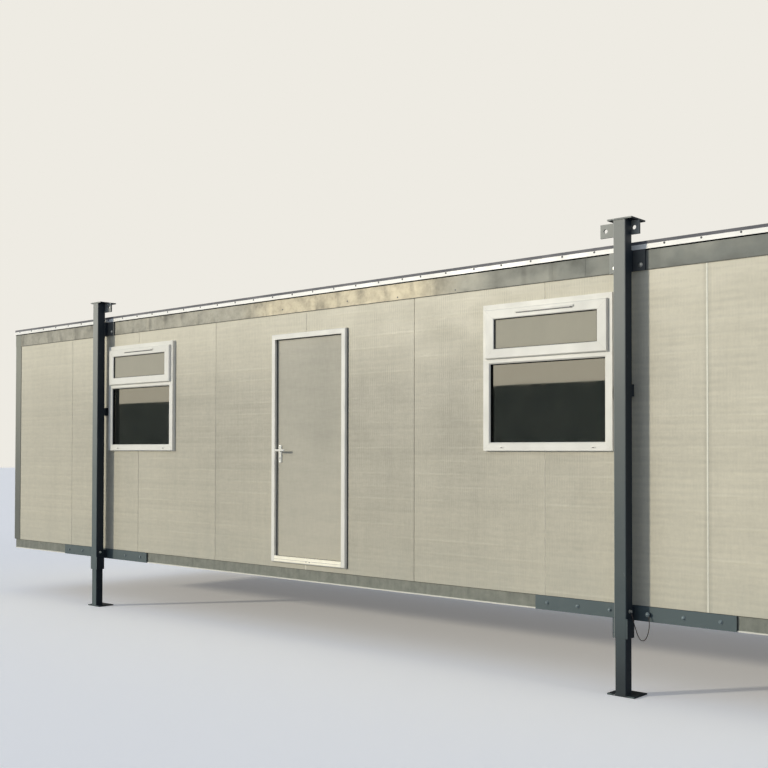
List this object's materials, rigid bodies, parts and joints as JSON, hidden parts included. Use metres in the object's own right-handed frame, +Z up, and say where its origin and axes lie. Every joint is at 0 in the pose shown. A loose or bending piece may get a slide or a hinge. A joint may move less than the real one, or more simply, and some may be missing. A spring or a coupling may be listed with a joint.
{
  "type": "portable site cabin",
  "caption": "Long flat-roofed site cabin on four telescopic jack legs, with a side door, opening windows over fixed panes, and lifting plates on the post tops.",
  "frame": {"origin": "on the ground, under the middle of the cabin", "axes": "+Z up, +X along the cabin's length to the right as seen from the door side, +Y from the door wall to the plain back wall"},
  "size_m": [9.82, 3.39, 3.155],
  "materials": {
    "jack_paint": "satin dark slate paint",
    "wall_panel": "stucco embossed grey beige coating",
    "galvanised": "dull galvanised sheet",
    "grey_trim": "matt grey coating",
    "floor_board": "coated board",
    "ceiling_board": "white faced board",
    "roof_cover": "dark roofing sheet",
    "white_plastic": "white frame plastic",
    "glazing": "sealed double glazing",
    "lanyard": "dull dark cable"
  },
  "bodies": {
    "cabin": {"base_frame": "galvanised", "floor": "floor_board", "front_wall_left": "wall_panel", "front_wall_right": "wall_panel", "front_wall_head": "wall_panel", "door_sill": "wall_panel", "back_wall": "wall_panel", "end_wall_left": "wall_panel", "end_wall_right": "wall_panel", "corner_trim_fl": "grey_trim", "corner_trim_fr": "grey_trim", "corner_trim_bl": "grey_trim", "corner_trim_br": "grey_trim", "fascia": "galvanised", "edge_batten": "white_plastic", "roof": "ceiling_board", "roof_cover": "roof_cover", "window_left_frame": "white_plastic", "window_left_pane": "glazing", "window_left_sash": "white_plastic", "window_left_sash_glass": "glazing", "window_right_frame": "white_plastic", "window_right_pane": "glazing", "window_right_sash": "white_plastic", "window_right_sash_glass": "glazing", "door_frame": "white_plastic", "jack_post_fl": "jack_paint", "lifting_plate_fl": "jack_paint", "spreader_fl": "jack_paint", "jack_post_fr": "jack_paint", "lifting_plate_fr": "jack_paint", "spreader_fr": "jack_paint", "jack_post_bl": "jack_paint", "lifting_plate_bl": "jack_paint", "spreader_bl": "jack_paint", "jack_post_br": "jack_paint", "lifting_plate_br": "jack_paint", "spreader_br": "jack_paint", "pin_lanyard": "lanyard"},
    "door": {"door_leaf": "wall_panel", "handle_plate_outer": "white_plastic", "handle_plate_inner": "white_plastic"},
    "lever": {"door_lever": "white_plastic"},
    "leg_fl": {"jack_leg_fl": "jack_paint"},
    "leg_fr": {"jack_leg_fr": "jack_paint"},
    "leg_bl": {"jack_leg_bl": "jack_paint"},
    "leg_br": {"jack_leg_br": "jack_paint"}
  },
  "joints": [
    {"name": "door_hinge", "type": "hinge", "parent": "cabin", "child": "door", "pos_m": [0.406, -1.49, 1.668], "axis": [0, 0, -1], "range_deg": [0, 95]},
    {"name": "lever_turn", "type": "hinge", "parent": "door", "child": "lever", "pos_m": [-0.376, -1.524, 1.614], "axis": [0, 1, 0], "range_deg": [0, 40], "stiffness_Nm_per_rad": 1.2, "springref_deg": -45.84},
    {"name": "leg_slide_fl", "type": "slide", "parent": "cabin", "child": "leg_fl", "axis": [0, 0, 1], "range_m": [-0.85, 0]},
    {"name": "leg_slide_fr", "type": "slide", "parent": "cabin", "child": "leg_fr", "axis": [0, 0, 1], "range_m": [-0.85, 0]},
    {"name": "leg_slide_bl", "type": "slide", "parent": "cabin", "child": "leg_bl", "axis": [0, 0, 1], "range_m": [-0.85, 0]},
    {"name": "leg_slide_br", "type": "slide", "parent": "cabin", "child": "leg_br", "axis": [0, 0, 1], "range_m": [-0.85, 0]}
  ]
}
